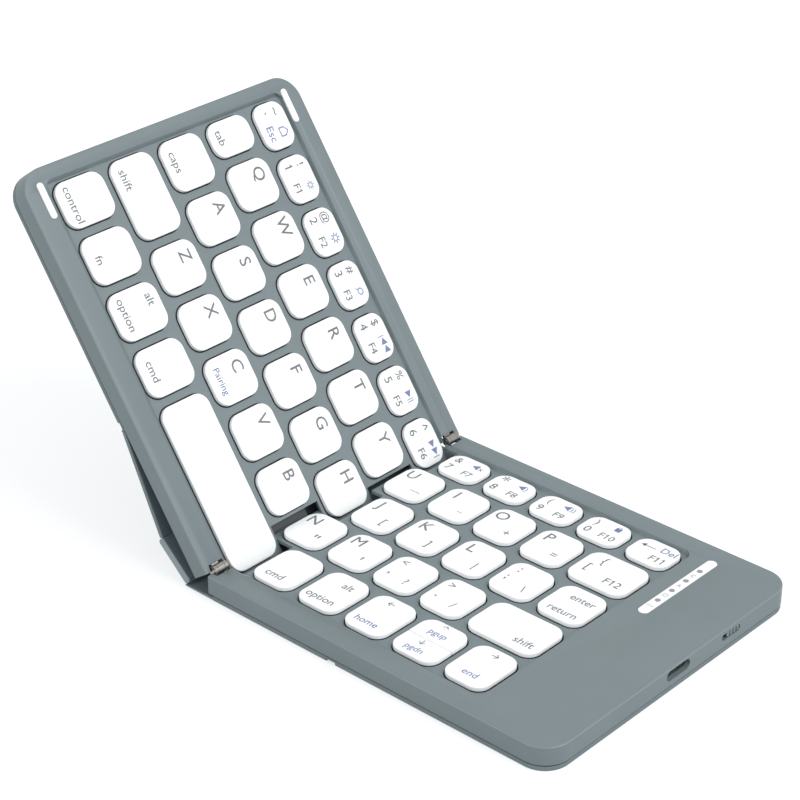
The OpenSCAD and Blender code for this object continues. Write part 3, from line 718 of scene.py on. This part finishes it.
def soft_link(node, material, reach, edge):
    """A thin strip between the halves, cut across into parts along its length."""
    bm = lengthened(clean_copy(node), reach)
    places = [v.co.x for v in bm.verts]
    far, near = min(places), max(places)
    for v in bm.verts:
        if v.co.x < (far + near) / 2:
            v.co.z += reach * far_lift
    for step in range(1, link_parts):
        at = far + (near - far) * step / link_parts
        bmesh.ops.bisect_plane(bm, geom=bm.verts[:] + bm.edges[:] + bm.faces[:],
                               plane_co=(at, 0, 0), plane_no=(1, 0, 0))
    mesh = to_mesh(bm, node)
    mesh.materials.append(material)
    shade_inside(mesh, Vector((0, 0, 1)))
    strip = bpy.data.objects.new(node + "_strip", mesh)
    scene.collection.objects.link(strip)
    if edge:
        round_edges(strip, edge)
    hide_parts(node)
    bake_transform(strip)


soft_link("cover_film", cover_skin, crease_reach, film_edge)

# ---- Bumpers and indicator window ----
# White pill-shaped inlays: silicone bumpers that keep the closed halves apart, and the light
# diffuser of the indicators, pressed into the side panel.

# Silicone is matt, the acrylic window smoother and glossier, and the dots and signs are thin prints
white_silicone = satin_moulding("white_silicone", "#f6f7f7", 0.5, 0.3 * mm, 0.004 * mm, 0.005)
window_acrylic = satin_moulding("white_acrylic", "#f7f8f8", 0.25, 0.6 * mm, 0.002 * mm, 0.005)
dot_grey = satin_moulding("grey_indicator_dot", "#8f9295", 0.4, 0.2 * mm, 0.002 * mm, 0.05)
sign_grey = satin_moulding("pale_pad_print", "#a2a1a8", 0.6, 0.2 * mm, 0.002 * mm, 0.05)
DOT, SIGN = 1, 2
pill_edge = 0.2 * mm
# Just under half the width, so that the two arcs of an end don't meet in one point
pill_corner_share = 0.499


def pill(low, high):
    """A slab with round ends."""
    width = min(high.x - low.x, high.y - low.y)
    return slab(low, high, width * pill_corner_share, pill_edge)[1]


bm = bmesh.new()
for low, high in separate_boxes("bumper_strips", left_place):
    add_to(bm, pill(low, high))
bm.transform(left_place)
finished("bumper_pills", to_mesh(bm, "bumper_pills"), white_silicone, "left_half",
         "bumper_rubber", "bumper_strips")

# A grey dot over each lamp, and a small plain sign beside it
dot_r = 0.85 * mm
dot_proud = 0.02 * mm
sign_height = 1.9 * mm
lamps = sorted(separate_boxes("indicator_leds", right_place), key=lambda lamp: lamp[0].y)
bm = bmesh.new()
low, high = separate_boxes("indicator_window", right_place)[0]
add_to(bm, pill(low, high))
lamp_step = lamps[1][0].y - lamps[0][0].y
for sign, (led_low, led_high) in zip("\u25ad\u25a1AC", lamps):
    middle = (led_low + led_high) / 2
    write(bm, sign, sign_height, middle.x, middle.y - lamp_step / 2, high.z, SIGN)
    dot = bmesh.new()
    at = Matrix.Translation((middle.x, middle.y, high.z + dot_proud / 2))
    bmesh.ops.create_cone(dot, cap_ends=True, segments=24, radius1=dot_r, radius2=dot_r,
                          depth=dot_proud, matrix=at)
    add_to(bm, dot, DOT)
bm.transform(right_place)
window = finished("indicator_pill", to_mesh(bm, "indicator_pill"), window_acrylic,
                  "right_half", "window_acrylic", "indicator_window")
window.data.materials.append(dot_grey)
window.data.materials.append(sign_grey)

# ---- Power switch ----
# A ribbed ABS slider, moulded like the housing, in a round-ended slot of the end wall. A tongue on
# its back runs in a groove of the nylon switch behind it.

knob_edge = 0.08 * mm
knob = finished("power_switch_slider", to_mesh(clean_copy("power_switch_knob"), "slider"),
                housing_abs, "power_switch", "housing_abs", "power_switch_knob")
round_edges(knob, knob_edge)

# ---- Inner parts ----
# What the case holds: boards, silicone domes, battery, socket, screws and the cable between
# the halves. They keep their construction shapes and take the finish of the real parts.


def dress(material, *names):
    """Gives CAD nodes a material."""
    for name in names:
        nodes[name].data.materials.clear()
        nodes[name].data.materials.append(material)


def circuit_board():
    """Glass epoxy under green solder mask, with paler lines where the tracks run."""
    material = bpy.data.materials.new("solder_mask")
    tree = bare(material)
    where = add(tree, "TexCoord").outputs["Object"]
    tracks = add(tree, "TexBrick", {"Vector": where, "Scale": 1.0, "Color1": linear("#1f5a38"),
                                    "Color2": linear("#235f3c"), "Mortar": linear("#3d8a58"),
                                    "Mortar Size": 0.2 * mm, "Brick Width": 7 * mm,
                                    "Row Height": 2.5 * mm})
    face = add(tree, "BsdfPrincipled", {"Base Color": tracks.outputs["Color"],
                                        "Roughness": 0.3, "IOR": 1.55})
    add(tree, "OutputMaterial", {"Surface": face.outputs[0]})
    return material


dress(circuit_board(), "right_key_board", "left_key_board", "main_board")

# Domes of matt silicone, which look soft beside the caps
dress(satin_moulding("dark_silicone", "#3a3d3e", 0.5, 0.4 * mm, 0.004 * mm),
      "right_dome_sheet", "left_dome_sheet")

# Zinc is pale and a little dull, the socket's drawn shell smoother, the pouch's laminate dullest
dress(plated_metal("zinc_plate", "#b4b8bb", 0.35, 0.2 * mm), "right_screws", "left_screws",
      "space_stabiliser")
dress(plated_metal("drawn_stainless_steel", "#b9babc", 0.3, 0.15 * mm), "usb_socket")
dress(plated_metal("aluminium_laminate", "#c6c9cc", 0.4, 0.6 * mm), "battery")

# The switch's nylon has a soft gleam, and the lamps' epoxy is smooth and yellowish
dress(satin_moulding("black_moulded_nylon", "#26282a", 0.45, 0.3 * mm, 0.006 * mm),
      "power_switch_body")
dress(satin_moulding("clear_yellowish_epoxy", "#e6e0c0", 0.15, 0.5 * mm, 0.002 * mm),
      "indicator_leds")

# The cable's coverlay is a dark slate film, which stands out little between the halves. The cable
# keeps its length and its square edges.
slate_coverlay = satin_moulding("slate_coverlay", "#343c3f", 0.45, 0.3 * mm, 0.002 * mm)
soft_link("hinge_flex_cable", slate_coverlay, 0, 0)
